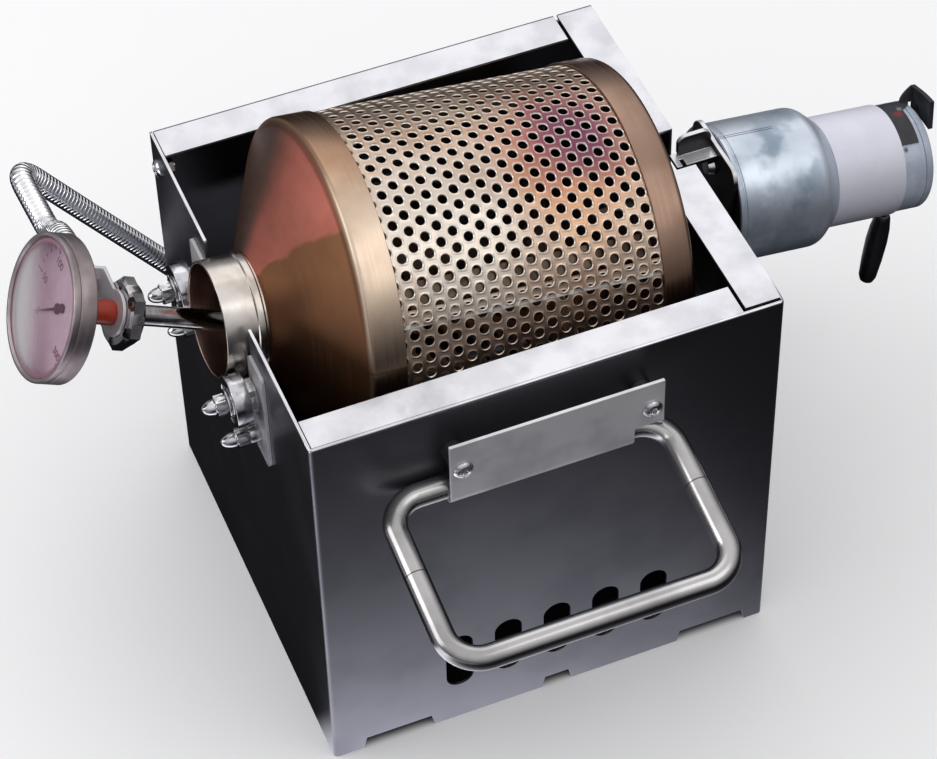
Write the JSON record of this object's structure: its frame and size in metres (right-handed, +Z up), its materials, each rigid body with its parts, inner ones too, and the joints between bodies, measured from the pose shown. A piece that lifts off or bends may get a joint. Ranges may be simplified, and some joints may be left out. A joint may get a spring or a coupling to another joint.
{
  "type": "drum coffee roaster",
  "caption": "Hob-top coffee roaster: a perforated drum turned by a gear motor over an open-bottomed steel box, with a probe thermometer at its mouth and a folding handle.",
  "frame": {"origin": "on the floor under the middle of the box, at the centre of its open bottom", "axes": "+X along the box from the drum's mouth to the motor, +Z up, the handle at the front on the -Y side"},
  "size_m": [0.4048, 0.2963, 0.2502],
  "materials": {
    "polished_steel": "polished",
    "steel_plate": "brushed",
    "bright_fasteners": "polished",
    "handle_rod": "polished",
    "bearing_steel": "polished",
    "tinted_steel": "heat tinted",
    "tinted_bands": "heat tinted",
    "neck_steel": "brushed",
    "inner_steel": "brushed",
    "zinc_plate": "zinc plated",
    "dark_plate": "satin",
    "motor_grey": "satin",
    "black_tape": "matte",
    "black_rubber": "matte",
    "black_plastic": "satin",
    "dial_steel": "polished",
    "dial_face": "satin",
    "needle_black": "satin",
    "dial_glass": "clear",
    "cover_orange": "matte",
    "goose_chrome": "polished"
  },
  "bodies": {
    "box": {"body_wrap": "polished_steel", "back_panel": "polished_steel", "motor_bracket": "polished_steel", "handle_plate": "steel_plate", "roller_straps": "steel_plate", "gooseneck_bracket": "steel_plate", "panel_screws": "bright_fasteners", "panel_nuts": "bright_fasteners", "plate_screws": "bright_fasteners", "plate_spacers": "bright_fasteners", "plate_nuts": "bright_fasteners", "roller_bolts": "bright_fasteners", "roller_nuts": "bright_fasteners", "roller_washers": "bright_fasteners", "roller_caps": "bright_fasteners", "strap_screws": "bright_fasteners", "strap_caps": "bright_fasteners", "gear_screws": "bright_fasteners", "bracket_screws": "bright_fasteners", "bracket_nuts": "bright_fasteners", "ledge_screws": "bright_fasteners", "ledge_nuts": "bright_fasteners", "gooseneck_nut": "bright_fasteners", "gear_cover": "zinc_plate", "gear_plate": "dark_plate", "motor_cap": "dark_plate", "motor_can": "motor_grey", "motor_sleeve": "motor_grey", "motor_tape": "black_tape", "lead_boot": "black_tape", "motor_lead": "black_rubber", "lead_socket": "black_plastic", "gooseneck": "goose_chrome", "gooseneck_base": "goose_chrome"},
    "drum": {"drum_neck": "neck_steel", "drum_front": "tinted_bands", "drum_screen": "tinted_steel", "drum_rear": "tinted_bands", "drum_vanes": "inner_steel", "drum_hub": "inner_steel", "hub_screws": "bright_fasteners", "output_shaft": "inner_steel"},
    "front_roller": {"front_roller": "bearing_steel"},
    "back_roller": {"back_roller": "bearing_steel"},
    "handle": {"handle": "handle_rod"},
    "thermometer": {"dial_case": "dial_steel", "dial_bezel": "dial_steel", "dial_glass": "dial_glass", "dial_plate": "dial_face", "probe_cover": "cover_orange", "probe_holder": "steel_plate", "probe_nut": "dial_steel", "probe_stem": "dial_steel", "gooseneck_tip": "goose_chrome", "gooseneck_tip_nut": "bright_fasteners"},
    "needle": {"dial_needle": "needle_black"}
  },
  "joints": [
    {"name": "drum_spin", "type": "hinge", "parent": "box", "child": "drum", "pos_m": [0, 0, 0.1673], "axis": [0.9921, 0, -0.1253], "continuous": true},
    {"name": "front_roller_spin", "type": "hinge", "parent": "box", "child": "front_roller", "pos_m": [-0.1092, -0.03345, 0.16795], "axis": [1, 0, 0], "continuous": true},
    {"name": "back_roller_spin", "type": "hinge", "parent": "box", "child": "back_roller", "pos_m": [-0.1092, 0.03345, 0.16795], "axis": [1, 0, 0], "continuous": true},
    {"name": "handle_fold", "type": "hinge", "parent": "box", "child": "handle", "pos_m": [-0.0137, -0.1008, 0.1595], "axis": [1, 0, 0], "range_deg": [0, 79.6]},
    {"name": "thermometer_swing", "type": "hinge", "parent": "box", "child": "thermometer", "pos_m": [-0.0955, 0.106, 0.1744], "axis": [-0.4664, 0, -0.8846], "range_deg": [0, 75], "deforming": ["gooseneck"]},
    {"name": "needle_turn", "type": "hinge", "parent": "thermometer", "child": "needle", "pos_m": [-0.1748, 0, 0.2162], "axis": [0.8846, 0, -0.4664], "range_deg": [0, 270], "stiffness_Nm_per_rad": 0.002}
  ],
  "couplings": [
    {"joint": "front_roller_spin", "follows": "drum_spin", "ratio": -2.2182},
    {"joint": "back_roller_spin", "follows": "drum_spin", "ratio": -2.2182}
  ]
}
